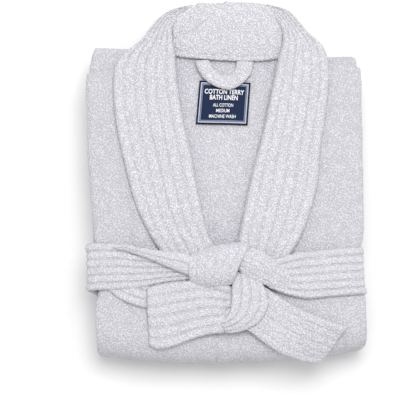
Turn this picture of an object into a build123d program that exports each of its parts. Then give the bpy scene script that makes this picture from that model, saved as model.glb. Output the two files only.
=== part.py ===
"""A terry bathrobe folded in three, lying on its back, with its belt tied round the bundle.

X runs across the folded robe, Y from the front fold to the collar, and Z up.  The origin is
at the bottom centre of the whole bundle.  Left is -X, right is +X.
"""
import os
from math import cos, radians, sin, tan

from build123d import *

os.makedirs("parts", exist_ok=True)

# Driving dimensions, in millimetres
overall_length = 474.0     # from the collar's back fold to the belt end over the front fold
bundle_width = 352.0       # across the folded cloth, without the belt
ply = 11.4                 # one squashed layer of terry, with its nap
ply_gap = 0.6              # air between two layers of the bundle
seat = 0.3                 # air between two pieces that lie on or beside each other
shoulder_drop = 85.0       # from the collar's back fold to the shoulder line
collar_height = 70.0       # from the neck seam to the collar's back fold
collar_thick = 11.0        # a lapel lying on the front
hem_inset = 2.0            # how far the hem stops short of the front fold's centre
belt_width = 64.0
belt_thick = 7.0
belt_centre = -118.0       # middle of the belt's turn, along Y
facing_width = 17.0        # the doubled band along each front edge
front_edge = -17.0         # where the two fronts meet, along X
inside_tilt = 4.5          # degrees that the neck seam is askew, clockwise from above
tape_length, tape_width, tape_thick = 120.0, 12.0, 5.0
loop_radius, loop_width, loop_thick = 28.5, 19.0, 5.5
loop_leg = 2.7             # straight run of the hanging loop beside the neck tape
label_width, label_height, label_thick = 66.0, 57.0, 1.0
label_drop = 62.0          # from the neck seam to the label's middle
pocket_height, pocket_thick = 165.0, 3.0
pocket_inset = 12.0        # from the bundle's side and from the facing to the pocket
pocket_rise = 3.5          # from the belt's upper edge to the pocket
cuff_length = 45.0
sleeve_inset = 3.0         # from the bundle's side and middle to the sleeve
knot_left, knot_split, knot_right = -50.0, 24.0, 57.0
knot_height, wrap_height = 24.0, 16.0
under_turn_left = -156.0   # where the belt's first turn comes out below the second, along X
under_turn_drop = 15.0     # how far it shows
bow_hinge = 2.0            # the crease where the bow band starts to lift, along X
bow_right = 47.0           # the rolled right side of the bow band, along X
bow_radius = 29.0          # of that rolled side, from above
bow_fall = 24.0            # from the belt's lower edge to the middle of the rolled side
flap_end = -108.0          # the square end of the bow band, along X
tail_angle = 29.4          # degrees below +X in which the right belt end runs
tail_length = 91.0         # of the right end, from the bow band to its tip
tail_shift = 8.0           # of its middle line from the middle of the rolled side, towards the belt
tail_hidden = 24.0         # length of the right end that the bow band covers

# Heights of the seven layers and of what lies on them
pitch = ply + ply_gap
half_ply = ply / 2


def level(n):
    """Height of the middle of the nth layer, counted from the surface below."""
    return n * pitch + half_ply


fold_centre = level(3)
stack_top = level(6) + half_ply
back_top = level(5) + half_ply
outer_radius = stack_top - fold_centre
lying = stack_top + seat + belt_thick / 2                    # belt on the fronts
bow_level = lying + belt_thick + seat                        # belt on a belt layer
lapel_top = stack_top + seat + collar_thick
over_lapel = lapel_top + seat + belt_thick / 2               # belt on the lapels

# Places along Y
collar_fold = overall_length / 2
fold_y = -overall_length / 2 + belt_thick + seat + outer_radius
shoulder_y = collar_fold - shoulder_drop
neck_y = collar_fold - collar_height
turn_y = shoulder_y + 2.0
back_end = neck_y + 10.0
hem_y = fold_y + hem_inset
belt_low, belt_high = belt_centre - belt_width / 2, belt_centre + belt_width / 2
below_belt = belt_low - seat
half_width = bundle_width / 2

# The pockets, which lie above the belt
pocket_width = half_width + front_edge - facing_width - 2 * pocket_inset
pocket_y = belt_high + pocket_rise + pocket_height / 2

# The roll line and the free edge of a lapel, as X from the middle and Y
lapel_roll = [(66, neck_y + 1), (59, 108), (46, 45), (32, -20), (20, -75), (16, belt_high + 6)]
lapel_edge = [(140, shoulder_y + 6), (142, 121), (138, 80), (127, 20), (112, -35), (92, belt_high)]
lapel_foot = (62, belt_low + 10)
collar_outline = [(45, collar_fold - 1), (76, collar_fold - 6), (94, collar_fold - 17),
                  (106, collar_fold - 33), (120, collar_fold - 50)]


def finish(piece, name):
    """Label a finished piece and write its file."""
    piece.part.label = name
    export_step(piece.part, f"parts/{name}.step")
    print(f"{name:18s} {len(piece.part.solids())} solid, {piece.part.volume / 1000:8.1f} cm3")


# The folded run of a front, along Y and up: top third, front fold, middle third and hem
with BuildSketch() as front_run:
    with BuildLine():
        Line((shoulder_y, level(6)), (fold_y, level(6)))
        ThreePointArc((fold_y, level(6)), (fold_y - 3 * pitch, fold_centre), (fold_y, level(0)))
        Line((fold_y, level(0)), (turn_y, level(0)))
        ThreePointArc((turn_y, level(0)), (turn_y + 1.5 * pitch, level(1.5)), (turn_y, level(3)))
        Line((turn_y, level(3)), (hem_y, level(3)))
    trace(line_width=ply)

# The two fronts and the facing band along each front edge.  Each band is a narrow strip of the
# same folded run.  The belt's turn and the pocket sink into the layer that faces down.
for side, name in ((-1, "left"), (1, "right")):
    band_edge = front_edge + side * seat
    band_end = band_edge + side * facing_width
    front_start = band_end + side * seat
    roll = [(side * x, y) for x, y in lapel_roll]

    with BuildPart() as facing:
        with BuildSketch(Plane.YZ.offset(band_edge)):
            add(front_run.sketch)
        extrude(amount=side * facing_width)
        with BuildSketch(Plane.XY.offset(back_top + ply_gap / 2)):
            with Locations((front_edge, (lapel_roll[-1][1] + shoulder_y) / 2 + pitch)):
                Rectangle(4 * facing_width, shoulder_y - lapel_roll[-1][1] + 2 * pitch)
        extrude(amount=pitch, mode=Mode.SUBTRACT)
        with BuildSketch(Plane.XY):
            with Locations((front_edge, belt_centre)):
                Rectangle(4 * facing_width, belt_width + 2 * seat)
        extrude(amount=belt_thick + seat, mode=Mode.SUBTRACT)
    finish(facing, f"facing_{name}")

    with BuildPart() as front:
        with BuildSketch(Plane.YZ.offset(front_start)):
            add(front_run.sketch)
        extrude(amount=side * half_width - front_start)
        with BuildSketch(Plane.XY.offset(back_top + ply_gap / 2)):
            with BuildLine():
                Spline(*roll)
                Polyline(roll[-1], (0, roll[-1][1]), (0, roll[0][1]), roll[0])
            make_face()
        extrude(amount=pitch, mode=Mode.SUBTRACT)
        with BuildSketch(Plane.XY):
            with Locations((side * half_width / 2, belt_centre)):
                Rectangle(half_width * 2, belt_width + 2 * seat)
        extrude(amount=belt_thick + seat, mode=Mode.SUBTRACT)
        with BuildSketch(Plane.XY):
            with Locations((side * (half_width - pocket_inset - pocket_width / 2), pocket_y)):
                Rectangle(pocket_width + 2 * seat, pocket_height + 2 * seat)
        extrude(amount=pocket_thick + seat, mode=Mode.SUBTRACT)
    finish(front, f"front_{name}")

    with BuildPart() as pocket:
        with BuildSketch(Plane.XY):
            with Locations((side * (half_width - pocket_inset - pocket_width / 2), pocket_y)):
                RectangleRounded(pocket_width, pocket_height, 8)
        extrude(amount=pocket_thick)
    finish(pocket, f"pocket_{name}")

# The back runs inside the fronts, from the neck seam to the hem, with the same three thirds.  It
# is one panel: its flat thirds and the turns between them are drawn apart, a seat from each other.
for name, layer, start, end in (("back_panel", 5, fold_y, back_end),
                                ("back_middle", 1, fold_y, turn_y),
                                ("back_hem", 2, hem_y, turn_y)):
    with BuildPart() as back_third:
        with BuildSketch(Plane.XY.offset(level(layer) - half_ply)):
            with Locations((0, (start + end) / 2)):
                Rectangle(bundle_width, end - start)
        extrude(amount=ply)
    finish(back_third, name)

with BuildPart() as back_fold:
    with BuildSketch(Plane.YZ.offset(-half_width)):
        with BuildLine():
            ThreePointArc((fold_y - seat, level(5)), (fold_y - seat - 2 * pitch, fold_centre),
                          (fold_y - seat, level(1)))
        trace(line_width=ply)
    extrude(amount=bundle_width)
finish(back_fold, "back_fold")

with BuildPart() as back_turn:
    with BuildSketch(Plane.YZ.offset(-half_width)):
        with BuildLine():
            ThreePointArc((turn_y + seat, level(1)), (turn_y + seat + pitch / 2, level(1.5)),
                          (turn_y + seat, level(2)))
        trace(line_width=ply)
    extrude(amount=bundle_width)
finish(back_turn, "back_turn")

# Each sleeve lies flat down the robe's back, with its turned-back cuff towards the front fold.
for side, name in ((-1, "left"), (1, "right")):
    sleeve_width = half_width - 2 * sleeve_inset
    cuff_y = hem_y + cuff_length

    with BuildPart() as sleeve:
        with BuildSketch(Plane.XY.offset(level(4) - half_ply)):
            with Locations((side * half_width / 2, (cuff_y + seat + shoulder_y) / 2)):
                Rectangle(sleeve_width, shoulder_y - cuff_y - seat)
        extrude(amount=ply)
        fillet(sleeve.faces().sort_by(Axis.Y)[-1].edges().filter_by(Axis.X), half_ply - seat)
    finish(sleeve, f"sleeve_{name}")

    with BuildPart() as cuff:
        with BuildSketch(Plane.XY.offset(level(4) - half_ply)):
            with Locations((side * half_width / 2, hem_y + cuff_length / 2)):
                Rectangle(sleeve_width, cuff_length)
        extrude(amount=ply)
        fillet(cuff.faces().sort_by(Axis.Y)[0].edges().filter_by(Axis.X), half_ply - seat)
    finish(cuff, f"cuff_{name}")


def seam_y(x):
    """Where the collar starts above the neck tape, which runs askew."""
    return neck_y - tan(radians(inside_tilt)) * x + tape_width / 2 + 2 * seat


# Each half of the shawl collar: the lapel that lies turned out on the front, and its share of
# the collar that stands round the back of the neck and folds over at the top.
for side, name in ((-1, "left"), (1, "right")):
    roll = [(side * x, y) for x, y in lapel_roll]
    edge = [(side * x, y) for x, y in lapel_edge]
    outline = [(side * x, y) for x, y in collar_outline]
    foot = (side * lapel_foot[0], lapel_foot[1])
    centre_back = side * seat / 2

    with BuildPart() as collar:
        with BuildSketch(Plane.XY.offset(stack_top + seat)):
            with BuildLine():
                Spline(*roll)
                Spline(*edge, foot)
                Line(roll[0], edge[0])
                Polyline(roll[-1], (roll[-1][0], foot[1]), foot)
            make_face()
        extrude(amount=collar_thick)
        with BuildSketch(Plane.XY.offset(back_top + seat)):
            with BuildLine():
                Spline((centre_back, collar_fold), *outline, edge[0], tangents=((side, 0), (side, -1)))
                Polyline(edge[0], roll[0], (roll[0][0], seam_y(roll[0][0])),
                         (centre_back, seam_y(centre_back)), (centre_back, collar_fold))
            make_face()
        extrude(amount=lapel_top - back_top - seat - 3)
    finish(collar, f"collar_{name}")

# Tape, loop and label share the askew line of the neck seam.
seam = Plane(origin=(5, neck_y, 0), x_dir=(cos(radians(inside_tilt)), -sin(radians(inside_tilt)), 0),
             z_dir=(0, 0, 1))
loop_root = -tape_width / 2 - seat

with BuildPart() as neck_tape:
    with BuildSketch(seam.offset(back_top + seat)):
        RectangleRounded(tape_length, tape_width, 3)
    extrude(amount=tape_thick)
finish(neck_tape, "neck_tape")

with BuildPart() as neck_label:
    with BuildSketch(seam.offset(back_top + seat)):
        with Locations((0, -label_drop)):
            Rectangle(label_width, label_height)
    extrude(amount=label_thick)
finish(neck_label, "neck_label")

with BuildPart() as hanging_loop:
    with BuildSketch(seam.offset(back_top + label_thick + 2 * seat)):
        with BuildLine():
            Line((-loop_radius, loop_root), (-loop_radius, loop_root - loop_leg))
            ThreePointArc((-loop_radius, loop_root - loop_leg), (0, loop_root - loop_leg - loop_radius),
                          (loop_radius, loop_root - loop_leg))
            Line((loop_radius, loop_root - loop_leg), (loop_radius, loop_root))
        trace(line_width=loop_width)
    extrude(amount=loop_thick)
finish(hanging_loop, "hanging_loop")

# The belt is one strip of doubled terry.  Its turn goes under the bundle, up both sides, over
# the fronts and the lapels, and into the knot from the left and from the right.
side_x = half_width + seat + belt_thick / 2
lapel_clear = lapel_edge[-1][0] + 6
ramp_end = lapel_clear + 20
corner = belt_thick / 2 + 0.5
with BuildPart() as belt_wrap:
    with BuildSketch(Plane.XZ.offset(-belt_high)):
        with BuildLine():
            FilletPolyline((knot_left - seat, over_lapel), (-lapel_clear, over_lapel),
                           (-ramp_end, lying), (-side_x, lying), (-side_x, belt_thick / 2),
                           (side_x, belt_thick / 2), (side_x, lying), (ramp_end, lying),
                           (lapel_clear, over_lapel), (knot_right + seat, over_lapel), radius=corner)
        trace(line_width=belt_thick)
    extrude(amount=belt_width)
finish(belt_wrap, "belt_wrap")

# On the left the belt's first turn shows below the second.
with BuildPart() as belt_under_turn:
    with BuildSketch(Plane.XY.offset(stack_top + seat)):
        with BuildLine():
            Polyline((under_turn_left, below_belt), (flap_end - 2 * seat, below_belt),
                     (flap_end - 2 * seat, below_belt - under_turn_drop),
                     (flap_end - 2 * seat - under_turn_drop, below_belt - under_turn_drop),
                     close=True)
        make_face()
    extrude(amount=belt_thick)
finish(belt_under_turn, "belt_under_turn")

# The knot: the wide loop that everything is pulled through, and the strand that wraps it.
knot_floor = lapel_top + seat
for name, x0, x1, height, rounding in (("belt_knot", knot_left, knot_split - seat, knot_height, 10),
                                       ("belt_knot_wrap", knot_split, knot_right, wrap_height, 7)):
    with BuildPart() as knot:
        with BuildSketch(Plane.XY.offset(knot_floor)):
            with Locations(((x0 + x1) / 2, belt_centre)):
                RectangleRounded(x1 - x0, belt_width, rounding)
        extrude(amount=height)
        fillet(knot.faces().sort_by(Axis.Z)[-1].edges(), rounding * 0.8)
    finish(knot, name)

# The bow band leaves the knot downwards, rolls over on its right and lies back to the left.
bow_middle = (bow_right - bow_radius, below_belt - bow_fall)
with BuildPart() as belt_bow:
    with BuildSketch(Plane.XY.offset(bow_level - belt_thick / 2)):
        with Locations(bow_middle):
            Circle(bow_radius)
        with Locations((bow_hinge + seat + bow_radius, below_belt - bow_radius * 2)):
            Rectangle(bow_radius * 2, bow_radius * 4, mode=Mode.INTERSECT)
    extrude(amount=belt_thick)
finish(belt_bow, "belt_bow")

with BuildPart() as belt_bow_flap:
    with BuildSketch(Plane.XZ.offset(-below_belt)):
        with BuildLine():
            FilletPolyline((bow_hinge, bow_level), (bow_hinge - 30, bow_level),
                           (bow_hinge - 60, lying), (flap_end, lying), radius=belt_thick * 2)
        trace(line_width=belt_thick)
    extrude(amount=belt_width)
    fillet(belt_bow_flap.faces().sort_by(Axis.X)[0].edges().filter_by(Axis.Z), 6)
finish(belt_bow_flap, "belt_bow_flap")

# The right end runs out from under the bow band and drapes over the front fold.
tail = Plane(origin=(*bow_middle, 0), x_dir=(cos(radians(tail_angle)), -sin(radians(tail_angle)), 0),
             z_dir=(0, 0, 1))
tail_hinge = bow_radius + 2 * seat
drape_radius = outer_radius + seat + belt_thick / 2

with BuildPart() as belt_tail_root:
    with BuildSketch(Plane.XY.offset(stack_top + seat)):
        with Locations((0, below_belt - belt_width)):
            Rectangle(bundle_width, 2 * belt_width)
    extrude(amount=belt_thick)
    with BuildSketch(tail):
        with Locations((tail_hinge - seat - tail_hidden / 2, tail_shift)):
            Rectangle(tail_hidden, belt_width)
    extrude(amount=stack_top + 2 * belt_thick, mode=Mode.INTERSECT)
finish(belt_tail_root, "belt_tail_root")

with BuildPart() as belt_tail:
    with BuildSketch(Plane.YZ.offset(-half_width)):
        with BuildLine():
            Line((below_belt, lying), (fold_y, lying))
            ThreePointArc((fold_y, lying),
                          (fold_y - drape_radius * sin(radians(45)),
                           fold_centre + drape_radius * cos(radians(45))),
                          (fold_y - drape_radius, fold_centre))
        trace(line_width=belt_thick)
    extrude(amount=bundle_width)
    with BuildSketch(tail):
        with Locations((tail_hinge + tail_length / 2, tail_shift)):
            Rectangle(tail_length, belt_width)
    extrude(amount=stack_top + 2 * belt_thick, mode=Mode.INTERSECT)
finish(belt_tail, "belt_tail")
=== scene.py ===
import itertools
from math import cos, pi, radians, sin

import bpy
import numpy as np
from mathutils import Matrix, Vector


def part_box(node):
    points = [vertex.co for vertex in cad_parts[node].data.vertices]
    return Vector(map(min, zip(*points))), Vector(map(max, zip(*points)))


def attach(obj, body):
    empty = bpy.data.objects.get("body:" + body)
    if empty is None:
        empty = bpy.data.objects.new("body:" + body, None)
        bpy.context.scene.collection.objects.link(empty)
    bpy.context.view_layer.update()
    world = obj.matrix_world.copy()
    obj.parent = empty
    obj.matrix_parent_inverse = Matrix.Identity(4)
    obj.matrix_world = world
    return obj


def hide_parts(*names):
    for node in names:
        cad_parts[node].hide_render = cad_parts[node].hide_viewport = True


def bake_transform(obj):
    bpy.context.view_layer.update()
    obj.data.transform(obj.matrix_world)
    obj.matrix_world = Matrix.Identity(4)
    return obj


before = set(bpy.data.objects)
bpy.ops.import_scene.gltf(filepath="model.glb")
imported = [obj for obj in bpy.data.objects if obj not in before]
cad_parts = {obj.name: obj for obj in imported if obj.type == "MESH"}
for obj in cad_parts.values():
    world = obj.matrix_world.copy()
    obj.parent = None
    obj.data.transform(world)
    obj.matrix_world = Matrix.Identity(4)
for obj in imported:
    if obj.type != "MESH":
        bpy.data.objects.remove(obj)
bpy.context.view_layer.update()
MM = 0.001

# ------------------------------------------------
# Camera: a long lens nearly overhead and a little to the front of the folded robe.  It is
# rolled slightly, so that the bundle lies a little askew in the frame.
# ------------------------------------------------
view_tilt = radians(80)
view_roll = radians(1.3)
view_target = Vector((-0.035, -0.026, 0.084))
view_distance = 1.95

backwards = Vector((0, -cos(view_tilt), sin(view_tilt)))
level_right = Vector((1, 0, 0))
level_up = backwards.cross(level_right)
camera_right = level_right * cos(view_roll) - level_up * sin(view_roll)
camera_up = level_right * sin(view_roll) + level_up * cos(view_roll)
camera = bpy.data.objects.new("camera", bpy.data.cameras.new("camera"))
camera.data.lens = 135
camera.matrix_world = Matrix.Translation(view_target + backwards * view_distance) @ Matrix(
    (camera_right, camera_up, backwards)).transposed().to_4x4()
bpy.context.collection.objects.link(camera)
bpy.context.scene.camera = camera
bpy.context.scene.view_settings.view_transform = "Standard"

# ------------------------------------------------
# Studio: a white table that takes the robe's shadow, a white room, and one wide soft lamp
# overhead towards the collar.  The room and the table look whiter than they light the robe.
# ------------------------------------------------
def math_node(tree, operation, *terms, clamp=False):
    """The output of a Math node whose terms are numbers or outputs of other nodes."""
    node = tree.nodes.new("ShaderNodeMath")
    node.operation = operation
    node.use_clamp = clamp
    for socket, term in zip(node.inputs, terms):
        if isinstance(term, bpy.types.NodeSocket):
            tree.links.new(term, socket)
        else:
            socket.default_value = term
    return node.outputs["Value"]


def seen_mask(tree):
    """1 for what is seen by the camera, directly, in a glossy surface or through a clear one."""
    path = tree.nodes.new("ShaderNodeLightPath")
    direct_or_glossy = math_node(tree, "MAXIMUM", path.outputs["Is Camera Ray"],
                                 path.outputs["Is Glossy Ray"])
    return math_node(tree, "MAXIMUM", direct_or_glossy, path.outputs["Is Transmission Ray"])


room_light, room_seen = 0.71, 1.0
world = bpy.data.worlds.new("white_room")
bpy.context.scene.world = world
world.use_nodes = True
w = world.node_tree
room = w.nodes["Background"]
white = w.nodes.new("ShaderNodeBackground")
for background, strength in ((room, room_light), (white, room_seen)):
    background.inputs["Color"].default_value = (1, 1, 1, 1)
    background.inputs["Strength"].default_value = strength
mixed = w.nodes.new("ShaderNodeMixShader")
w.links.new(seen_mask(w), mixed.inputs["Fac"])
w.links.new(room.outputs["Background"], mixed.inputs[1])
w.links.new(white.outputs["Background"], mixed.inputs[2])
w.links.new(mixed.outputs["Shader"], w.nodes["World Output"].inputs["Surface"])

half_table = 3.0
table_top = -0.0025                # just clear of the loops of the lowest layer
table_lit, table_seen = 0.80, 0.94
table_mesh = bpy.data.meshes.new("table")
table_mesh.from_pydata([(-half_table, -half_table, 0), (half_table, -half_table, 0),
                        (half_table, half_table, 0), (-half_table, half_table, 0)], [], [(0, 1, 2, 3)])
table = bpy.data.objects.new("table", table_mesh)
table.location.z = table_top
bpy.context.collection.objects.link(table)
table_paint = bpy.data.materials.new("table_paint")
table_paint.use_nodes = True
t = table_paint.node_tree
t.nodes.remove(t.nodes["Principled BSDF"])
chalk = t.nodes.new("ShaderNodeBsdfDiffuse")
paint = t.nodes.new("ShaderNodeMix")
paint.data_type = "RGBA"
paint.inputs["A"].default_value = (table_lit, table_lit, table_lit, 1)
paint.inputs["B"].default_value = (table_seen, table_seen, table_seen, 1)
t.links.new(seen_mask(t), paint.inputs["Factor"])
t.links.new(paint.outputs["Result"], chalk.inputs["Color"])
t.links.new(chalk.outputs["BSDF"], t.nodes["Material Output"].inputs["Surface"])
table_mesh.materials.append(table_paint)

lamp = bpy.data.objects.new("back_lamp", bpy.data.lights.new("back_lamp", "AREA"))
lamp.data.size = 1.1
lamp.data.energy = 28
lamp.location = (0.2, 0.4, 2.3)
lamp_target = Vector((0, 0, 0.05))
lamp.rotation_euler = (lamp_target - lamp.location).to_track_quat("-Z", "Y").to_euler()
bpy.context.collection.objects.link(lamp)

# ------------------------------------------------
# Fronts: the two front panels of cotton terry, a ground with uncut loops on both faces.  They
# are folded in three with the hem tucked in, and sewn to the back at shoulders and sides.
# Each follows its lapel's roll line down to the front edge, then wraps round the front fold.
# ------------------------------------------------
clump, nap_height = 2.6, 0.45      # millimetres: width and height of a tuft of loops
fine_clump, fine_nap = 0.55, 0.8   # smaller tufts between them, as shares of those two
slow_swell, fast_swell = 34, 13    # millimetres: widths of the cloth's soft unevenness
fast_share = 0.45                  # height of the quicker unevenness against the slower
stitch_sharpness = 2.2             # how narrow the sunk line of a row of stitches is
few_points = 60                    # an edge with fewer points than this is drawn as a curve


def value_noise(points, size, seed):
    """Smooth noise from -1 to 1 at the points, with bumps about as wide as size."""
    place = np.asarray(points, float) / size
    cell = np.floor(place).astype(np.int64)
    part = place - cell
    part = part * part * (3 - 2 * part)
    total = np.zeros(len(place))
    for corner in itertools.product((0, 1), repeat=3):
        c = cell + np.array(corner)
        mixed = c[:, 0] * 73856093 ^ c[:, 1] * 19349663 ^ c[:, 2] * 83492791 ^ seed * 2654435761
        mixed = ((mixed ^ (mixed >> 13)) * 1274126177) & 0x7FFFFFFF
        value = ((mixed ^ (mixed >> 15)) & 0xFFFF) / 32767.5 - 1
        weight = np.prod(np.where(corner, part, 1 - part), axis=1)
        total += weight * value
    return total


def through(points, places):
    """A smooth curve through the points, read at places counted in points."""
    p = np.array(points, float)
    if p.ndim == 1:
        p = p[:, None]
    wide = np.vstack([2 * p[0] - p[1], p, 2 * p[-1] - p[-2]])
    start = np.clip(places.astype(int), 0, len(p) - 2)
    f = (places - start)[:, None]
    a, b, c, d = (wide[start + k] for k in range(4))
    return 0.5 * (2 * b + (c - a) * f + (2 * a - 5 * b + 4 * c - d) * f**2
                  + (3 * b - a - 3 * c + d) * f**3)


def even_places(first, second, step):
    """Places along two edges, so that the strip between them is cut about evenly."""
    fine = np.linspace(0, len(first) - 1, 40 * len(first))
    middle = (through(first, fine) + through(second, fine)) / 2
    outer = np.maximum(np.linalg.norm(np.diff(through(first, fine), axis=0), axis=1),
                       np.linalg.norm(np.diff(through(second, fine), axis=0), axis=1))
    along = np.linalg.norm(np.diff(middle, axis=0), axis=1)
    run = np.concatenate([[0], np.cumsum((outer + along) / 2)])
    count = max(4, int(run[-1] / step))
    return np.interp(np.linspace(0, run[-1], count), run, fine)


def rim_spaced(length, step, rim):
    """Shares from 0 to 1, evenly spaced but closer in the rounded rim at both ends."""
    near = rim * np.array([0, 0.08, 0.25, 0.55])
    middle = np.linspace(rim, length - rim, max(2, int((length - 2 * rim) / step)))
    return np.concatenate([near, middle, length - near[::-1]]) / length


def rounding(distance, rim):
    """Share of the full thickness at a distance from the edge of a soft slab."""
    inside = np.clip(distance / rim, 0, 1)
    return np.sqrt(1 - (1 - inside) ** 2)


def slab(first, second, thick, step, rim, ribs=0, rib_depth=0.0, crown=0.0, lift=None):
    """A soft slab of cloth between two edges, as points, quads and the place in its rows.

    The second edge lies to the left of the way the slab runs, seen from its face.  The edges
    are arrays of points one station apart, or few points that a smooth curve goes through.
    thick is a number, or a function of the place along and across.  rim is the rounded width
    at each edge, crown swells the middle, and lift moves it.
    """
    first, second = np.array(first, float), np.array(second, float)
    if len(first) < few_points:
        places = even_places(first, second, step)
        along = places / (len(first) - 1)
        first, second = through(first, places), through(second, places)
    else:
        along = np.linspace(0, 1, len(first))
    width = np.linalg.norm(second - first, axis=1)
    usual_width = np.percentile(width, 80)
    across = rim_spaced(usual_width, step, rim)[None, :, None]
    middle = first[:, None] * (1 - across) + second[:, None] * across
    across, along = across[:, :, 0], along[:, None]

    def facing(surface):
        n = np.cross(np.gradient(surface, axis=0), np.gradient(surface, axis=1))
        return n / np.maximum(np.linalg.norm(n, axis=2, keepdims=True), 1e-9)

    out = facing(middle)
    if lift is not None:
        middle = middle + lift(along, across, middle)
    if crown:
        middle = middle + out * (crown * (1 - (2 * across - 1) ** 2))[:, :, None]
    out = facing(middle)

    deep = (thick if np.isscalar(thick) else thick(along, across)) / 2 * np.ones(middle.shape[:2])
    if ribs:
        deep = deep - rib_depth * (1 - np.abs(np.sin(pi * ribs * across))) ** stitch_sharpness
    edge = np.minimum(across, 1 - across) * width[:, None]
    run = np.concatenate([[0], np.cumsum(np.linalg.norm(
        np.diff((first + second) / 2, axis=0), axis=1))])
    ending = np.minimum(run, run[-1] - run)
    deep = deep * rounding(edge, rim) * rounding(ending, rim)[:, None]

    rows, columns = deep.shape
    number = np.arange(rows * columns).reshape(rows, columns)
    under = number.copy()
    under[1:-1, 1:-1] = rows * columns + np.arange((rows - 2) * (columns - 2)).reshape(
        rows - 2, columns - 2)
    points = np.vstack([(middle + out * deep[:, :, None]).reshape(-1, 3),
                        (middle - out * deep[:, :, None])[1:-1, 1:-1].reshape(-1, 3)])

    def quads(grid):
        return np.stack([grid[:-1, :-1], grid[1:, :-1], grid[1:, 1:], grid[:-1, 1:]],
                        axis=2).reshape(-1, 4)

    rows_of_stitches = np.broadcast_to(across * ribs if ribs else 0.5, deep.shape)
    run_along = np.broadcast_to(run[:, None] * MM, deep.shape)
    woven = np.stack([rows_of_stitches, run_along], axis=2)
    woven = np.vstack([woven.reshape(-1, 2), woven[1:-1, 1:-1].reshape(-1, 2)])
    return points, np.vstack([quads(number), quads(under)[:, ::-1]]), woven


def cloth_piece(name, shells, material, nap=nap_height, seed=1, slack=0.7):
    """A mesh object from slabs in millimetres, with its loops and soft unevenness as relief."""
    starts = np.cumsum([0] + [len(shell[0]) for shell in shells])
    points = np.vstack([shell[0] for shell in shells])
    quads = np.vstack([shell[1] + start for shell, start in zip(shells, starts)])
    woven = np.vstack([shell[2] for shell in shells])
    mesh = bpy.data.meshes.new(name)
    mesh.vertices.add(len(points))
    mesh.vertices.foreach_set("co", (points * MM).ravel())
    mesh.loops.add(quads.size)
    mesh.loops.foreach_set("vertex_index", quads.ravel())
    mesh.polygons.add(len(quads))
    mesh.polygons.foreach_set("loop_start", np.arange(0, quads.size, 4))
    mesh.polygons.foreach_set("use_smooth", np.ones(len(quads), bool))
    mesh.update(calc_edges=True)
    mesh.uv_layers.new(name="rows").uv.foreach_set("vector", woven[quads.ravel()].ravel())
    facing = np.empty(len(points) * 3)
    mesh.vertex_normals.foreach_get("vector", facing)
    facing = facing.reshape(-1, 3)
    relief = slack * (value_noise(points, slow_swell, seed)
                      + fast_share * value_noise(points, fast_swell, seed + 1))
    if nap:
        tuft = value_noise(points, clump, 7) + fine_nap * value_noise(points, clump * fine_clump, 8)
        relief = relief + nap * tuft
    mesh.vertices.foreach_set("co", ((points + facing * relief[:, None]) * MM).ravel())
    mesh.update()
    mesh.materials.append(material)
    piece = bpy.data.objects.new(name, mesh)
    bpy.context.collection.objects.link(piece)
    return piece


def new_group(name, inputs, outputs):
    """An empty shader node group with named inputs, each with its value, and outputs."""
    group = bpy.data.node_groups.new(name, "ShaderNodeTree")
    kinds = {"color": "NodeSocketColor", "value": "NodeSocketFloat"}
    for label, kind, value in inputs:
        socket = group.interface.new_socket(label, in_out="INPUT", socket_type=kinds[kind])
        socket.default_value = value
    for label, kind in outputs:
        group.interface.new_socket(label, in_out="OUTPUT", socket_type=kinds[kind])
    return group, group.nodes.new("NodeGroupInput"), group.nodes.new("NodeGroupOutput")


def remapped(tree, value, start, end=(0.0, 1.0), smooth=False):
    """The output of a Map Range node from the start range to the end range."""
    node = tree.nodes.new("ShaderNodeMapRange")
    if smooth:
        node.interpolation_type = "SMOOTHSTEP"
    for label, limit in zip(("From Min", "From Max", "To Min", "To Max"), (*start, *end)):
        node.inputs[label].default_value = limit
    tree.links.new(value, node.inputs["Value"])
    return node.outputs["Result"]


terry_color = (0.87, 0.861, 0.917, 1)
# The terry's darker second colour is painted shade: it stands for the shade that falls between the loops,
# and the row shade stands for the shade in the sunk rows of stitching.
terry_group, terry_in, terry_out = new_group(
    "terry_loops",
    [("Cloth", "color", terry_color), ("Hollow Shade", "color", (0.62, 0.61, 0.66, 1)),
     ("Mottle", "value", 0.12), ("Row Depth", "value", 0.3), ("Row Shade", "value", 0.1)],
    [("Color", "color"), ("Height", "value"), ("Roughness", "value")])
thread_scale, tuft_scale, patch_scale = 900, 460, 90      # bumps to a metre
stitch_half_width = 0.20                                  # as a share of a row
wander = 0.16                                             # of the stitch line, in rows
t = terry_group
place = t.nodes.new("ShaderNodeTexCoord")
threads = t.nodes.new("ShaderNodeTexNoise")
threads.inputs["Scale"].default_value = thread_scale
threads.inputs["Detail"].default_value = 3
threads.inputs["Roughness"].default_value = 0.62
tufts = t.nodes.new("ShaderNodeTexVoronoi")
tufts.feature = "SMOOTH_F1"
tufts.inputs["Scale"].default_value = tuft_scale
tufts.inputs["Smoothness"].default_value = 0.35
tufts.inputs["Randomness"].default_value = 1.0
patches = t.nodes.new("ShaderNodeTexNoise")
patches.inputs["Scale"].default_value = patch_scale
patches.inputs["Detail"].default_value = 2
for texture in (threads, tufts, patches):
    t.links.new(place.outputs["Object"], texture.inputs["Vector"])
dome = remapped(t, tufts.outputs["Distance"], (0.0, 0.75), (1.0, 0.0))
loops = math_node(t, "MULTIPLY_ADD", threads.outputs["Fac"], 0.55, dome)
rows = t.nodes.new("ShaderNodeUVMap")
rows.uv_map = "rows"
row_place = t.nodes.new("ShaderNodeSeparateXYZ")
t.links.new(rows.outputs["UV"], row_place.inputs["Vector"])
wobble = math_node(t, "MULTIPLY_ADD", threads.outputs["Fac"], wander, row_place.outputs["X"])
row_wave = math_node(t, "PINGPONG", math_node(t, "SUBTRACT", wobble, wander / 2), 0.5)
off_stitches = remapped(t, row_wave, (0.0, stitch_half_width), smooth=True)
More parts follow.
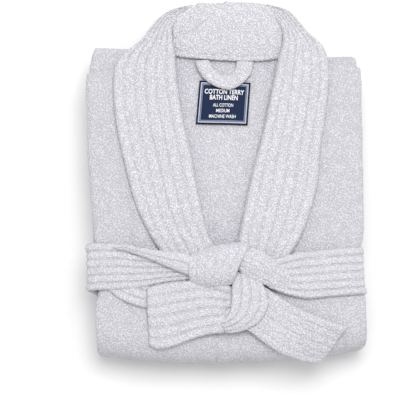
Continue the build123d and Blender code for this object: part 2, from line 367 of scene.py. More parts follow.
height = math_node(t, "MULTIPLY_ADD", off_stitches, terry_in.outputs["Row Depth"], loops)
t.links.new(height, terry_out.inputs["Height"])
# Painted shade: the colour darkens from the loop tops down into the gaps between them, mixed with slow
# patches of the cloth's own uneven tone.
hollow_shade_and_mottle = t.nodes.new("ShaderNodeMix")
t.links.new(terry_in.outputs["Mottle"], hollow_shade_and_mottle.inputs["Factor"])
t.links.new(remapped(t, loops, (0.50, 0.95)), hollow_shade_and_mottle.inputs["A"])
t.links.new(remapped(t, patches.outputs["Fac"], (0.35, 0.65)), hollow_shade_and_mottle.inputs["B"])
# Painted shade along the sunk rows of stitching, where the grooves lie in shade.
painted_row_shade = math_node(t, "MULTIPLY", math_node(t, "SUBTRACT", 1.0, off_stitches),
                     terry_in.outputs["Row Shade"])
row_light = math_node(t, "SUBTRACT", hollow_shade_and_mottle.outputs["Result"], painted_row_shade, clamp=True)
tint = t.nodes.new("ShaderNodeMix")
tint.data_type = "RGBA"
t.links.new(row_light, tint.inputs["Factor"])
t.links.new(terry_in.outputs["Hollow Shade"], tint.inputs["A"])
t.links.new(terry_in.outputs["Cloth"], tint.inputs["B"])
t.links.new(tint.outputs["Result"], terry_out.inputs["Color"])
dry = remapped(t, hollow_shade_and_mottle.outputs["Result"], (0.0, 1.0), (1.0, 0.86))
t.links.new(dry, terry_out.inputs["Roughness"])


def group_material(name, group, values, bump_distance, bump_strength=1.0):
    """A material whose colour and relief come from a group, and its main nodes."""
    material = bpy.data.materials.new(name)
    material.use_nodes = True
    tree = material.node_tree
    shader = tree.nodes["Principled BSDF"]
    effect = tree.nodes.new("ShaderNodeGroup")
    effect.node_tree = group
    for label, value in values.items():
        effect.inputs[label].default_value = value
    bump = tree.nodes.new("ShaderNodeBump")
    bump.inputs["Strength"].default_value = bump_strength
    bump.inputs["Distance"].default_value = bump_distance
    tree.links.new(effect.outputs["Color"], shader.inputs["Base Color"])
    tree.links.new(effect.outputs["Height"], bump.inputs["Height"])
    tree.links.new(bump.outputs["Normal"], shader.inputs["Normal"])
    return material, shader, effect


def terry_material(name, cloth, hollow_shade, row_depth=0.3, row_shade=0.1):
    """A terry of one colour: pale loop tops, painted shade between them, a dry surface and a soft sheen.
    """
    material, shader, effect = group_material(
        name, terry_group, {"Cloth": cloth, "Hollow Shade": hollow_shade, "Row Depth": row_depth,
                            "Row Shade": row_shade}, bump_distance=0.0013)
    material.node_tree.links.new(effect.outputs["Roughness"], shader.inputs["Roughness"])
    shader.inputs["Specular IOR Level"].default_value = 0.2
    shader.inputs["Sheen Weight"].default_value = 0.35
    shader.inputs["Sheen Roughness"].default_value = 0.55
    shader.inputs["Sheen Tint"].default_value = (0.95, 0.96, 1.0, 1)
    return material


robe_terry = terry_material("robe_terry", terry_color, (0.57, 0.561, 0.603, 1))


def box_mm(node):
    """The low and high corner of a part in the frame, in millimetres."""
    low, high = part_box(node)
    return np.array(low) / MM, np.array(high) / MM


front_low, front_high = box_mm("front_left")
back_high = box_mm("back_panel")[1]
stack_top = front_high[2]
air = 0.6                          # between layers
ply = stack_top - back_high[2] - air
pitch = ply + air
half_width = -front_low[0]
fold_middle = stack_top / 2
fold_y = front_low[1] + fold_middle
turn_y = front_high[1] - 1.5 * pitch - ply / 2
front_top_y = 151.0
hem_y = fold_y + 4
front_edge = -17.5
roll_left = [(-66, 168), (-61.5, 144), (-58, 108), (-53, 76), (-45, 37), (-35, -25), (-25, -73),
             (-16, -91)]
roll_right = [(80, 186), (71.5, 155), (65, 127), (56, 86), (41, 33), (31, -3), (20, -45), (9, -88)]
side_line = {"left": [(-235, 172), (-150, 172.5), (-80, 174), (0, 178), (75, 181), (125, 182),
                      (160, 180)],
             "right": [(-235, 175), (-150, 177), (-80, 177), (0, 178), (75, 181.5), (125, 182.5),
                       (160, 181)]}
squareness = 0.72                         # 1 is a round fold, less is a squarer one
fold_swell, fold_draw_in = 5.0, 15.0      # of the front fold, at its middle and at the sides
fold_reach = 70.0                         # how far from the front fold that goes
foot_in = 2.0                             # of the front fold, where it meets the table
side_droop, rear_droop = 5.0, 3.0         # of the top, towards the sides and the rear
waist_y, waist_reach, waist_pull = -118.0, 34.0, 9.0      # where the belt pulls the sides in
side_wave, side_wave_length = 1.6, 45     # of the bundle's sides


def squared_turn(radius, step):
    """Points (y, z) round the front fold from the top down: a half turn, squarer than a circle."""
    turn = np.linspace(0, pi, 300)
    y = np.sin(turn) ** squareness
    z = np.sign(np.cos(turn)) * np.abs(np.cos(turn)) ** squareness
    run = np.concatenate([[0], np.cumsum(np.hypot(np.diff(y), np.diff(z)))]) * radius
    even = np.arange(0, run[-1], step)
    return np.column_stack([fold_y - radius * np.interp(even, run, y),
                            fold_middle + radius * np.interp(even, run, z)])


def straight(start, end, step, z):
    """Points (y, z) at one height."""
    y = np.arange(start, end, step)
    return np.column_stack([y, np.full(len(y), z)])


def folded_run(top, fine, coarse, radius, rear_radius):
    """Points (y, z) down a folded panel: top third, front fold, middle third, rear fold, hem."""
    low_z = fold_middle - radius
    rear_z = low_z + rear_radius
    turn = np.linspace(0, pi, max(9, int(pi * rear_radius / fine)))
    rear_turn = np.column_stack([turn_y + rear_radius * np.sin(turn),
                                 rear_z - rear_radius * np.cos(turn)])
    return np.vstack([straight(top, fold_y, -fine, fold_middle + radius), squared_turn(radius, fine),
                      straight(fold_y + coarse, turn_y, coarse, low_z), rear_turn,
                      straight(turn_y - coarse, hem_y, -coarse, rear_z + rear_radius)])


def bundle_side(y, side, seed):
    """How far the bundle's side stands out at a place along Y."""
    known = np.array(side_line[side], float)
    apart = np.column_stack([y, np.full(len(y), 50.0 * seed), np.zeros(len(y))])
    return np.interp(y, known[:, 0], known[:, 1]) + side_wave * value_noise(apart, side_wave_length, seed)


def settle(along, across, middle):
    """The bundle's uneven thickness and the swell of its front fold, for every layer alike."""
    x, y, z = middle[:, :, 0], middle[:, :, 1], middle[:, :, 2]
    flat = np.column_stack([x.ravel(), y.ravel(), np.zeros(x.size)])
    near_fold = np.clip((fold_y + fold_reach - y) / fold_reach, 0, 1) ** 2
    sides = (np.abs(x) / half_width) ** 2.4
    swell = near_fold * (fold_draw_in * sides - fold_swell)
    share = np.clip(z / stack_top, 0, 1)
    creases = np.column_stack([(x - 0.8 * y).ravel() / 5, (x + y).ravel() * 0.6, np.zeros(x.size)])
    wave = (1.8 * value_noise(flat, 90, 21) + 0.9 * value_noise(flat, 38, 22)
            + 0.9 * value_noise(creases, 16, 23)).reshape(x.shape)
    droop = -side_droop * (np.abs(x) / half_width) ** 6 - rear_droop * np.clip((y - 90) / 60, 0, 1) ** 2
    waist = np.exp(-(((y - waist_y) / waist_reach) ** 4)) * np.clip((95 - z) / 30, 0, 1)
    move = np.zeros(middle.shape)
    move[:, :, 0] = -np.sign(x) * waist_pull * waist * (np.abs(x) / half_width) ** 4
    foot = np.clip((fold_y - y) / fold_middle, 0, 1) ** 0.5 * np.clip(1 - z / fold_middle, 0, 1)
    scallop = value_noise(np.column_stack([x.ravel(), 0.3 * z.ravel(), np.zeros(x.size)]), 17, 24)
    move[:, :, 1] = swell - foot_in * foot + 1.2 * near_fold * scallop.reshape(x.shape)
    move[:, :, 2] = share * (wave + droop)
    return move


front_run = folded_run(front_top_y, 1.9, 6.0, 3 * pitch, 1.5 * pitch)
run_y, run_z = front_run[:, 0], front_run[:, 1]
on_top = run_z > stack_top - ply
meeting_y, overlap = -88.0, 2.5           # where the fronts begin to meet, and by how much
crease_line = [(-206, -131), (-155, -130), (-77, -124), (-44, -126), (-11, -132)]      # (y, x)
crease_depth, crease_width = 2.4, 5.5
shoulder_slope = 9.0


def settle_front(along, across, middle):
    """As the whole bundle, with a pressed crease, and the shoulder edge sloping to the sides."""
    move = settle(along, across, middle)
    x, y, z = middle[:, :, 0], middle[:, :, 1], middle[:, :, 2]
    crease_x = np.interp(y, *zip(*crease_line))
    crease = np.exp(-((x - crease_x) / crease_width) ** 2) * np.clip((10 - y) / 40, 0, 1)
    move[:, :, 2] -= crease_depth * crease * (z > fold_middle)
    near_shoulder = np.clip((y - 60) / 90, 0, 1) ** 2 * (z > stack_top - ply)
    move[:, :, 1] += shoulder_slope * near_shoulder * (1 - np.clip(np.abs(x) / half_width, 0, 1) ** 5)
    return move


for side, roll, seed in (("left", roll_left, 31), ("right", roll_right, 32)):
    sign = -1 if side == "left" else 1
    outer_x = sign * bundle_side(run_y, side, seed)
    roll_line = np.array(sorted(roll, key=lambda p: p[1]), float)
    inner_x = np.where(on_top & (run_y > roll_line[0, 1]),
                       np.interp(run_y, roll_line[:, 1], roll_line[:, 0]), front_edge)
    inner_x = np.where(on_top & (run_y > meeting_y), inner_x, front_edge - sign * overlap)
    edges = (outer_x, inner_x) if side == "left" else (inner_x, outer_x)
    first, second = (np.column_stack([x, run_y, run_z]) for x in edges)
    front_shell = slab(first, second, ply, step=1.9, rim=7, lift=settle_front)
    front = cloth_piece(f"front_{side}_cloth", [front_shell], robe_terry, seed=seed)
    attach(front, "robe")
    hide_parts(f"front_{side}", f"facing_{side}")

# ------------------------------------------------
# Back: one wide panel inside the fronts.  Its inner face shows in the neck opening, and its
# shoulder line shows askew behind the fronts.
# ------------------------------------------------
back_top_y = 174.0
left_rise, right_drop = 14.0, 9.0      # how far the shoulder line lies askew
left_draw, right_draw = 7, 27          # how far its two corners are drawn in
back_inset = 2.5                       # of the back from the fronts' sides
# Painted light: the back is the robe's own terry painted brighter, to offset the shade that falls in the
# deep neck opening.
inner_terry_painted_light = terry_material("inner_terry_painted_light", (0.92, 0.911, 0.965, 1), (0.58, 0.571, 0.613, 1))
back_run = folded_run(back_top_y, 2.2, 7.0, 2 * pitch, (pitch + air) / 2)
run_y, run_z = back_run[:, 0], back_run[:, 1]
left_x = back_inset - bundle_side(run_y, "left", 41)
right_x = bundle_side(run_y, "right", 41) - back_inset
near_top = np.clip((run_y - 120) / 54, 0, 1) * (run_z > stack_top / 2)
first = np.column_stack([left_x + left_draw * near_top**6, run_y + left_rise * near_top, run_z])
second = np.column_stack([right_x - right_draw * near_top**4, run_y - right_drop * near_top, run_z])
inside_rise, lower_rise = 4.0, 2.5     # of the back inside the neck opening, and lower down


def settle_back(along, across, middle):
    """As the whole bundle, and pushed up where the fronts leave the neck opening."""
    move = settle(along, across, middle)
    x, y, z = middle[:, :, 0], middle[:, :, 1], middle[:, :, 2]
    opening = np.exp(-(x / 58) ** 6) * np.clip((165 - y) / 20, 0, 1) * np.clip((y + 90) / 40, 0, 1)
    lower = np.clip((70 - y) / 40, 0, 1)
    move[:, :, 2] += opening * (inside_rise + lower_rise * lower) * (z > 60)
    return move


back_shell = slab(first, second, ply, step=2.0, rim=6, lift=settle_back)
back = cloth_piece("back_panel_cloth", [back_shell], inner_terry_painted_light, seed=41)
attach(back, "robe")
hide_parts("back_panel", "back_fold", "back_middle", "back_turn", "back_hem")

# ------------------------------------------------
# Sleeves and cuffs: two flattened tubes laid down the robe's back, with turned-back cuffs.
# Only their edges show between the layers at the bundle's sides and at its rear.
# ------------------------------------------------
right_sleeve_short = 8.0      # at the rear, where the back's shoulder line drops
for side in ("left", "right"):
    for part, outward, seed in (("sleeve", 3.5, 51), ("cuff", 1.5, 52)):
        low, high = box_mm(f"{part}_{side}")
        if side == "left":
            low[0] -= outward
        else:
            high[0] += outward
            if part == "sleeve":
                high[1] -= right_sleeve_short
        level_z = (low[2] + high[2]) / 2
        tube = slab([(low[0], high[1], level_z), (low[0], low[1], level_z)],
                    [(high[0], high[1], level_z), (high[0], low[1], level_z)],
                    ply, step=3.0, lift=settle, rim=6)
        piece = cloth_piece(f"{part}_{side}_cloth", [tube], robe_terry, seed=seed)
        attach(piece, "robe")
        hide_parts(f"{part}_{side}")

# ------------------------------------------------
# Pockets: patch pockets of the same terry, stitched on three sides.  They lie on the third of
# the fronts that faces the table.
# ------------------------------------------------
pocket_thick, pocket_drop = 3.0, 0.2
for side in ("left", "right"):
    low, high = box_mm(f"pocket_{side}")
    middle_z = (low[2] + high[2]) / 2 - pocket_drop
    patch = slab([(high[0], high[1], middle_z), (high[0], low[1], middle_z)],
                 [(low[0], high[1], middle_z), (low[0], low[1], middle_z)],
                 pocket_thick, step=3.0, rim=2)
    pocket = cloth_piece(f"pocket_{side}_cloth", [patch], robe_terry, nap=0.3, slack=0.1)
    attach(pocket, "robe")
    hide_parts(f"pocket_{side}")

# ------------------------------------------------
# Shawl collar: doubled terry, quilted with rows of stitching that follow its edge.  The two
# lapels lie turned out on the fronts, and the back of the neck stands up and folds over.
# ------------------------------------------------
collar_terry = terry_material("collar_terry", (0.97, 0.96, 1.0, 1), (0.60, 0.59, 0.635, 1),
                              row_shade=0.18)
lapel_z = stack_top + 5.5
lapel_rows, row_sink = 6, 1.5
roll_thick, edge_thick = 15.0, 9.5
roll_rise, edge_ripple = 2.2, 1.6
left_roll = [(-8, -125), (-16, -91), (-24.6, -70), (-35, -25), (-45, 37), (-53, 76), (-58, 108),
             (-61.5, 144), (-63, 170), (-66, 190), (-66, 205), (-58, 217), (-45, 226), (-30, 233)]
left_edge = [(-66, -128), (-92, -86), (-107, -58), (-121, -22), (-134, 32), (-142, 72), (-145.5, 112),
             (-144, 152), (-131, 173), (-110, 190), (-96, 208), (-83, 222), (-66, 232), (-38, 238)]
right_roll = [(8, -125), (13, -84), (21, -45), (31, -3), (41, 33), (50, 64), (58, 97), (65, 127),
              (71.5, 155), (78, 178), (79, 195), (74, 208), (64, 221), (50, 231)]
right_edge = [(62, -128), (90, -86), (104, -55), (118, -12), (123, 32), (129, 66), (135, 100),
              (139, 130), (138, 158), (130, 180), (115, 195), (103, 211), (89, 227), (60, 237)]
lapel_height = [0, 0, 0, 0, 0, 0, 0, 0, 0, -1, -2, -3, -4, -5]


def at_height(outline, base, heights=None):
    """Plan points with a height each."""
    return [(x, y, base + h) for (x, y), h in zip(outline, heights or [0] * len(outline))]


def lapel_thickness(inner_first):
    """Full at the roll line, thinner at the free edge."""
    def thick(along, across):
        from_roll = across if inner_first else 1 - across
        return roll_thick - (roll_thick - edge_thick) * from_roll + 0 * along
    return thick


def lapel_fall(inner_first):
    """The lapel's middle rises over the roll, follows the bundle and ripples along the edge."""
    def lift(along, across, middle):
        from_roll = (across if inner_first else 1 - across) + 0 * along
        move = settle(along, across, middle)
        ripple = edge_ripple * value_noise(middle.reshape(-1, 3), 55, 61).reshape(from_roll.shape)
        move[:, :, 2] += roll_rise * (1 - from_roll) ** 2 + ripple * from_roll
        return move
    return lift


for side, roll, edge in (("left", left_roll, left_edge), ("right", right_roll, right_edge)):
    inner_first = side == "left"
    pair = [at_height(roll, lapel_z, lapel_height), at_height(edge, lapel_z, lapel_height)]
    if not inner_first:
        pair.reverse()
    lapel_shell = slab(*pair, lapel_thickness(inner_first), step=1.6, rim=6, ribs=lapel_rows,
                       rib_depth=row_sink, lift=lapel_fall(inner_first))
    lapel = cloth_piece(f"lapel_{side}", [lapel_shell], collar_terry, seed=63)
    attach(lapel, "robe")
    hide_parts(f"collar_{side}")

seam_z, crest_z = 72.5, 81
seam_thick, crest_thick = 9.0, 18.0
seam_points = [(-70, 173.5), (-50, 172), (-20, 170), (10, 168), (40, 165.5), (65, 163.5), (82, 162)]
crest_points = [(-64, 224), (-46, 236), (-20, 239), (10, 239.5), (40, 238.5), (60, 234), (76, 222)]


def stand_thickness(along, across):
    """Two layers at the seam, and the thick rolled fold at the top."""
    return seam_thick + (crest_thick - seam_thick) * across**1.5 + 0 * along


def stand_arch(along, across, middle):
    """The stand arches up between seam and fold, with two wrinkles, and sinks at its ends."""
    x, y = middle[:, :, 0], middle[:, :, 1]
    wrinkle = (np.exp(-((x + 48 - 0.76 * (y - 212)) / 4.0) ** 2)
               + 0.6 * np.exp(-((x + 12 - 1.3 * (y - 224)) / 4.5) ** 2)) * np.clip((y - 188) / 12, 0, 1)
    move = np.zeros(middle.shape)
    move[:, :, 2] = 5.0 * np.sin(pi * across) - 4.0 * wrinkle - 5 * np.abs(2 * along - 1) ** 6
    return move


stand_shell = slab(at_height(seam_points, seam_z), at_height(crest_points, crest_z), stand_thickness,
                   step=1.7, rim=4, lift=stand_arch)
stand = cloth_piece("collar_stand", [stand_shell], collar_terry, seed=65)
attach(stand, "robe")
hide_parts("collar_left", "collar_right")

# ------------------------------------------------
# Neck tape and hanging loop: a strip of terry stitched down over the neck seam, and a folded
# strip of the same cloth whose two ends are caught in that seam.
# ------------------------------------------------
seam_tilt = radians(4.5)
seam_origin = np.array([5.0, 167.0])
across_seam = np.array([cos(seam_tilt), -sin(seam_tilt)])
up_seam = np.array([sin(seam_tilt), cos(seam_tilt)])
back_face = back_high[2] + inside_rise


def on_seam(x, y, z):
    """A point given along and across the neck seam, in the robe's own place."""
    p = seam_origin + across_seam * x + up_seam * y
    return (p[0], p[1], z)


tape_z = back_face - 1.2
tape_width, tape_thick, loop_thick = 7, 5.5, 6.5
tape_line = [(-70, -2), (-40, -4), (-10, -4.5), (20, -4), (50, -1.5), (66, 2)]
tape = cloth_piece("neck_tape_cloth",
                   [slab([on_seam(x, y, tape_z) for x, y in tape_line],
                         [on_seam(x, y + tape_width, tape_z + 1) for x, y in tape_line], tape_thick,
                         step=1.3, rim=2.7)], collar_terry, nap=0.4, seed=71, slack=0.4)
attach(tape, "robe")
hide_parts("neck_tape")

loop_outer = [(-37.5, 164), (-34, 151), (-27.5, 139), (-17.5, 129.5), (-8, 124.5), (1, 121.5),
              (12, 122), (22.5, 128), (32, 137), (37.5, 147), (40.5, 161)]
loop_inner = [(-18.5, 164), (-16, 156), (-12.5, 149), (-7.5, 143.5), (-2.5, 141), (2.5, 140),
              (7, 140.5), (11.5, 143.5), (15, 149), (17, 155), (18, 161)]
loop_height = [74.5, 78, 81, 82.5, 83, 83, 83, 82.5, 81, 78, 74.5]
loop_shape = [[(x, y, z) for (x, y), z in zip(line, loop_height)] for line in (loop_outer, loop_inner)]
hanger = cloth_piece("hanging_loop_cloth", [slab(*loop_shape, loop_thick, step=1.2, rim=4)],
                     collar_terry, nap=0.5, seed=72, slack=0.3)
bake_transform(hanger)
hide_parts("hanging_loop")

# ------------------------------------------------
# The belt: one strip of doubled terry with six rows of stitching.  It goes round the bundle
# and through its own knot, and ends in a bow band and a free tail.
# ------------------------------------------------
belt_terry = terry_material("belt_terry", (0.95, 0.941, 1.0, 1), (0.63, 0.62, 0.665, 1), row_depth=0.6,
                            row_shade=0.30)
belt_ribs, belt_thick, tight_thick = 6, 8.0, 9.0
wrap_upper = [(-40, -107, 101), (-56, -99, 99), (-88, -94, 98), (-118, -88.5, 94), (-140, -82, 91),
              (-168, -79.5, 89), (-183, -79.5, 81), (-178, -82, 42), (-171, -84, 12), (-162, -86, 3.6),
              (-60, -87, 3.6), (60, -89, 3.6), (160, -91, 3.6), (169, -92, 12), (170, -92, 42),
              (175, -92, 82), (165, -92.5, 89), (145, -93.5, 90.5), (116, -96, 94), (92, -99, 98),
              (72, -104, 99), (50, -112, 101)]
wrap_lower = [(-40, -131, 97), (-56, -132, 95), (-80, -134.5, 91), (-106, -139, 88), (-135, -141, 87),
              (-170, -142, 87), (-187, -142.5, 80), (-180, -145, 42), (-171, -148, 12), (-162, -150, 3.6),
              (-60, -151, 3.6), (60, -153, 3.6), (160, -155, 3.6), (168, -156, 12), (170, -157, 42),
              (175.5, -157, 81), (165, -156.5, 87.5), (150, -157, 87), (124, -158, 87), (98, -158, 88),
              (76, -153, 88.5), (50, -143, 93)]
wrap = slab(wrap_upper, wrap_lower, belt_thick, step=1.5, ribs=belt_ribs, rib_depth=1.8, lift=settle,
            rim=4.5)
over_upper = [(-150, -84, 92), (-132, -84, 95), (-118, -88, 98), (-88, -93.5, 102.5), (-58, -98, 105),
              (-42, -106, 106)]
over_lower = [(-148, -86, 90), (-130, -89.5, 93.5), (-112, -98, 97), (-82, -113, 101), (-60, -123, 102),
              (-42, -130, 101)]
over_fold = slab(over_lower, over_upper, belt_thick, step=1.5, ribs=2, rib_depth=0.6, crown=4.0,
                 lift=settle, rim=7)
belt_wrap = cloth_piece("belt_turn", [wrap, over_fold], belt_terry, seed=81)
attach(belt_wrap, "robe")
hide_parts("belt_wrap")

# ------------------------------------------------
# Second turn of the belt, of the same stitched terry.  It is wound in under the first turn, and
# shows only as a corner below the left strand.
# ------------------------------------------------
under_lower = [(-163, -134, 84.5), (-154, -144, 84.5), (-144, -152, 85), (-132, -158.5, 85),
               (-119, -163, 85), (-102, -167, 84)]
under_upper = [(-152, -112, 85), (-138, -114, 85), (-124, -117, 85), (-110, -120, 85),
               (-98, -123, 85), (-82, -127, 84)]
under_turn = cloth_piece("belt_second_turn",
                         [slab(under_lower, under_upper, 7.0, step=1.5, ribs=4, rib_depth=1.0,
                               lift=settle, rim=3.5)], belt_terry, seed=83)
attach(under_turn, "robe")
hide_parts("belt_under_turn")

# ------------------------------------------------
# Knot: the belt passes once over both strands and is pulled down tight through itself.  The
# lump beside it is the strand that crosses behind and comes out on the right.
# ------------------------------------------------
knot_terry = terry_material("knot_terry", (0.95, 0.941, 1.0, 1), (0.60, 0.59, 0.635, 1), row_depth=0.25,
                            row_shade=0.10)
knot_left = [(-45, -112, 90), (-49, -105, 99), (-51, -108, 105), (-52, -116, 108.5),
             (-52, -123, 108.5), (-51, -129, 105.5), (-50, -132.5, 101), (-49, -134, 96)]
knot_right = [(21, -103, 90), (28, -92, 99), (26.5, -94, 107), (20.5, -104, 112),
              (12.5, -118, 112.5), (9, -127, 109.5), (6, -133, 103), (5, -136, 97)]
knot = slab(knot_left, knot_right, tight_thick, step=1.4, ribs=belt_ribs, rib_depth=0.4, crown=6.0,
            rim=5)
cross_lower = [(2, -110, 96), (11, -120, 101), (22.5, -130, 100), (36.5, -136, 97),
               (49, -141, 93), (60, -147, 89), (72, -152, 84)]
cross_upper = [(14, -92, 98), (26, -92.5, 102), (43, -98, 103), (55.5, -107, 101), (65, -115, 97),
               (76, -121, 92), (88, -127, 85)]
crossing = slab(cross_lower, cross_upper, tight_thick, step=1.4, ribs=5, rib_depth=0.4, crown=4.5,
                rim=5)
for name, shell, node, size, seed in (
        ("belt_knot_cloth", knot, "belt_knot", (0.064, 0.088), 84),
        ("belt_knot_crossing", crossing, "belt_knot_wrap", (0.050, 0.075), 85)):
    piece = cloth_piece(name, [shell], knot_terry, seed=seed)
    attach(piece, "robe")
    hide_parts(node)

# ------------------------------------------------
# Bow: the belt's end comes down out of the knot, turns flat on itself about a bunched crease
# and lies to the left.  It is caught only at the knot.
# ------------------------------------------------
band_upper = [(9, -141, 92), (2, -139.5, 96), (-9, -135.5, 101), (-31, -133, 102.5), (-53, -133, 101.5),
              (-76, -134.5, 98), (-95, -136.5, 95), (-106, -141, 93)]
band_lower = [(17, -196, 90), (7, -198, 91), (-8, -199.5, 91.5), (-29, -202, 90.5), (-51, -208, 89),
              (-75, -216, 86), (-93, -218, 84), (-104.5, -212.5, 84)]
roll_inner = [(6, -122, 97), (4, -136, 101), (2.5, -150, 102), (1, -163, 102), (-0.5, -172, 101),
              (-3, -178, 99), (-7, -182.5, 95.5), (-13, -185, 91)]
roll_outer = [(36, -129, 94), (45, -146, 96), (48.5, -163, 97), (45, -176, 97), (36, -187, 96),
              (23, -194, 95), (8, -198, 93), (-6, -198.5, 90)]


def bow_pleats(along, across, middle):
    """Fine pleats run out from the bunched crease, and the free part waves a little."""
    x, y = middle[:, :, 0], middle[:, :, 1]
    from_crease = np.hypot(x - 1, (y + 160) * 0.5)
    angle = np.arctan2(y + 158, 14 - x)
    move = np.zeros(middle.shape)
    move[:, :, 2] = (1.6 * np.sin(13 * angle) * np.exp(-(from_crease / 20) ** 2)
                     + 1.8 * value_noise(middle.reshape(-1, 3), 40, 88).reshape(x.shape))
    return move


bow_band = slab(band_upper, band_lower, belt_thick, step=1.4, ribs=belt_ribs, rib_depth=1.1,
                lift=bow_pleats, rim=4.5)
bow_roll = slab(roll_inner, roll_outer, belt_thick, step=1.4, ribs=4, rib_depth=0.9, crown=4.0, rim=4)
bow = cloth_piece("belt_bow_cloth", [bow_band, bow_roll], belt_terry, seed=86)
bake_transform(bow)
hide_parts("belt_bow", "belt_bow_flap")

# ------------------------------------------------
# Tail: the belt's other end, which runs from under the bow over the front fold.  Its hemmed
# edge stands up a little along the lower side and the end.
# ------------------------------------------------
tail_upper = [(27, -128), (44, -141), (60, -152), (79, -165.5), (100, -176.5), (121, -186),
              (139, -193), (147, -199)]
tail_lower = [(-10, -173), (9, -187), (27, -201), (43, -214), (60, -227), (79, -239.5),
              (99, -253), (115, -261)]
tail_thick, tail_rise, end_rise = 7.5, 6, 0.045      # end_rise is for each millimetre to the right
tail_swell, hem_rise = 1.5, 1.2
fold_radius = stack_top - fold_middle


def drape(x, y, rise):
    """A point that lies rise above the bundle, following it down over the front fold."""
    if y >= fold_y:
        return (x, y, stack_top + rise)
    turned = squared_turn(fold_radius + rise, 1.0)
    place = turned[min(int(fold_y - y), len(turned) - 1)]
    return (x, place[0], place[1])


def tail_wave(along, across, middle):
    """The tail waves a little, and its hem stands up along the lower side and the end."""
    slow = value_noise(middle.reshape(-1, 3), 42, 91).reshape(middle.shape[:2])
    hem = np.exp(-((across - 0.07) / 0.05) ** 2) + np.exp(-((1 - along) / 0.045) ** 2)
    move = np.zeros(middle.shape)
    move[:, :, 2] = tail_swell * slow + hem_rise * hem
    return move


tail_shape = [[drape(x, y, tail_rise + end_rise * max(x - 20, 0)) for x, y in edge]
              for edge in (tail_lower, tail_upper)]
tail = cloth_piece("belt_tail_cloth",
                   [slab(*tail_shape, tail_thick, step=1.4, ribs=belt_ribs, rib_depth=0.5,
                         lift=tail_wave, rim=4)], knot_terry, seed=92)
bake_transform(tail)
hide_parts("belt_tail", "belt_tail_root")

# ------------------------------------------------
# Label: a navy woven label sewn flat to the back under the neck seam.  A dark edge, two paler
# borders and plain lines of white lettering are woven in.
# ------------------------------------------------
label_group, label_in, label_out = new_group(
    "label_weave", [("Thread", "color", (0.030, 0.040, 0.115, 1)), ("Weave Rate", "value", 9000.0)],
    [("Color", "color"), ("Height", "value")])
t = label_group
place = t.nodes.new("ShaderNodeTexCoord")
parts = t.nodes.new("ShaderNodeSeparateXYZ")
t.links.new(place.outputs["Object"], parts.inputs["Vector"])
waves = []
for axis in ("X", "Y"):
    phase = math_node(t, "MULTIPLY", parts.outputs[axis], label_in.outputs["Weave Rate"])
    waves.append(math_node(t, "SINE", phase))
weave = math_node(t, "MULTIPLY", *waves)
tinted = t.nodes.new("ShaderNodeVectorMath")
tinted.operation = "SCALE"
t.links.new(label_in.outputs["Thread"], tinted.inputs[0])
t.links.new(remapped(t, weave, (-1.0, 1.0), (0.75, 1.25)), tinted.inputs["Scale"])
t.links.new(tinted.outputs["Vector"], label_out.inputs["Color"])
t.links.new(weave, label_out.inputs["Height"])


def label_material(name, thread):
    """A fine flat weave of one thread colour, nearly dull."""
    material, shader = group_material(name, label_group, {"Thread": thread},
                                      bump_distance=0.0002, bump_strength=0.3)[:2]
    shader.inputs["Roughness"].default_value = 0.55
    shader.inputs["Specular IOR Level"].default_value = 0.15
    return material


navy_weave = label_material("navy_weave", (0.009, 0.020, 0.060, 1))
edge_weave = label_material("edge_weave", (0.004, 0.007, 0.018, 1))
border_weave = label_material("border_weave", (0.50, 0.54, 0.66, 1))
inner_border_weave = label_material("inner_border_weave", (0.22, 0.27, 0.38, 1))
letter_weave = label_material("letter_weave", (0.95, 0.96, 1.0, 1))
label_width, label_height = 66.5, 56.0
label_corners = np.array([[(-38.3, 76.6), (-32, 135.8)], [(29.8, 73.3), (35.5, 131)]])
label_z = back_face + 1.4
label_thick, label_bow, label_ripple = 1.0, 1.2, 0.5


def on_label(x, y, z=0.0):
    """A point on the label's face.  The label is sewn on askew and bows up slightly."""
    s, v = x / label_width + 0.5, y / label_height + 0.5
    bottom = label_corners[0, 0] * (1 - s) + label_corners[1, 0] * s
    top = label_corners[0, 1] * (1 - s) + label_corners[1, 1] * s
    spot = bottom * (1 - v) + top * v
    bow_up = label_bow * (1 - (2 * s - 1) ** 2) + label_ripple * sin(x / 9)
    return (spot[0], spot[1], label_z + bow_up + z)


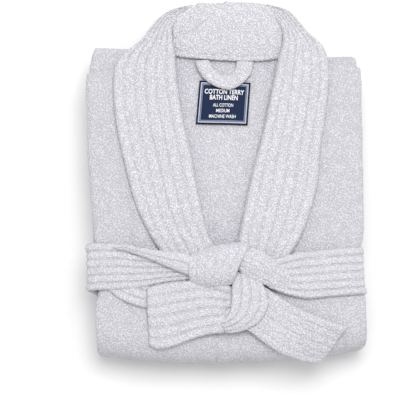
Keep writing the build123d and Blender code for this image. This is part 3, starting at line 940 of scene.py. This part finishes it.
def label_frame(inset, width, z, name, material):
    """A flat woven border, running round the label at an inset from its edge."""
    a, b = label_width / 2 - inset, label_height / 2 - inset
    vertices, faces = [], []
    steps = 12
    ring = [(-a + 2 * a * i / steps, -b, 0, 1) for i in range(steps)]
    ring += [(a, -b + 2 * b * i / steps, -1, 0) for i in range(steps)]
    ring += [(a - 2 * a * i / steps, b, 0, -1) for i in range(steps)]
    ring += [(-a, b - 2 * b * i / steps, 1, 0) for i in range(steps)]
    for i, (x, y, inx, iny) in enumerate(ring):
        if i % steps == 0:
            inx, iny = (-1 if x > 0 else 1), (-1 if y > 0 else 1)
        for offset in (0, width):
            for height in (-0.3, z):
                vertices.append([c * MM for c in on_label(x + inx * offset, y + iny * offset, height)])
    count = len(ring)
    for i in range(count):
        j = (i + 1) % count
        for p, q in ((0, 1), (1, 3), (3, 2), (2, 0)):
            faces.append((4 * i + p, 4 * j + p, 4 * j + q, 4 * i + q))
    mesh = bpy.data.meshes.new(name)
    mesh.from_pydata(vertices, [], faces)
    mesh.materials.append(material)
    border = bpy.data.objects.new(name, mesh)
    bpy.context.collection.objects.link(border)
    return border


label_stations = np.linspace(-label_width / 2, label_width / 2, 11)
label_slab = slab([on_label(x, -label_height / 2) for x in label_stations],
                  [on_label(x, label_height / 2) for x in label_stations], label_thick, step=2.0,
                  rim=0.5)
label = cloth_piece("neck_label_cloth", [label_slab], navy_weave, nap=0, slack=0)
borders = [label_frame(0.2, 1.8, 0.65, "label_edge", edge_weave),
           label_frame(2.3, 1.6, 0.75, "label_border_outer", border_weave),
           label_frame(4.5, 1.1, 0.75, "label_border_inner", inner_border_weave)]
lines = [("COTTON TERRY", 14.2, 6.2, 51), ("BATH LINEN", 6.8, 6.2, 36), ("ALL COTTON", -3.0, 4.3, 26),
         ("MEDIUM", -10.1, 4.3, 17), ("MACHINE WASH", -17.4, 4.3, 34)]
letters = []
for words, y, tall, wide in lines:
    curve = bpy.data.curves.new("lettering", "FONT")
    curve.body = words
    curve.align_x = curve.align_y = "CENTER"
    curve.size = 1.0
    curve.extrude = 0.05
    curve.offset = 0.022 if tall > 5 else 0.008
    holder = bpy.data.objects.new("lettering", curve)
    mesh = bpy.data.meshes.new_from_object(holder)
    bpy.data.objects.remove(holder)
    bpy.data.curves.remove(curve)
    spots = np.empty(len(mesh.vertices) * 3)
    mesh.vertices.foreach_get("co", spots)
    spots = spots.reshape(-1, 3)
    size = spots.max(axis=0) - spots.min(axis=0)
    spots[:, 0] *= wide / size[0]
    spots[:, 1] *= tall / size[1]
    place_letters = [on_label(x, y + v, 0.72 if w > 0 else 0.3) for x, v, w in spots]
    mesh.vertices.foreach_set("co", (np.array(place_letters) * MM).ravel())
    mesh.materials.append(letter_weave)
    line = bpy.data.objects.new("label_" + words.lower().replace(" ", "_"), mesh)
    bpy.context.collection.objects.link(line)
    letters.append(line)
for piece in [label, *borders, *letters]:
    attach(piece, "robe")
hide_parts("neck_label")
